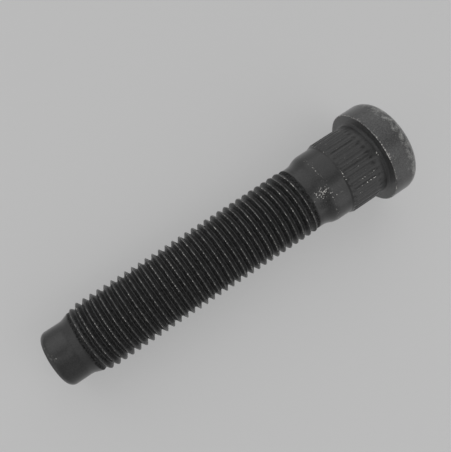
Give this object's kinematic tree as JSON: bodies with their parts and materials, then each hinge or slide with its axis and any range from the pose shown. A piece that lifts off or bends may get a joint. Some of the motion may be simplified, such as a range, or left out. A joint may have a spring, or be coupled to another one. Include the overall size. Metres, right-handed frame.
{
  "type": "wheel stud",
  "caption": "Press-in wheel stud: round head with a flat seat, splined shank, plain shoulder and neck, long right-hand fine thread and a plain pilot tip.",
  "frame": {"origin": "centre of the head's outer face, on which the stud stands", "axes": "+Z along the stud's axis, from the head to the pilot tip; +X and +Y lie across it"},
  "size_m": [0.0197, 0.0196, 0.0772],
  "materials": {
    "phosphated_steel": "black phosphate, oiled, satin"
  },
  "bodies": {
    "root": {"wheel_stud": "phosphated_steel"}
  },
  "joints": []
}
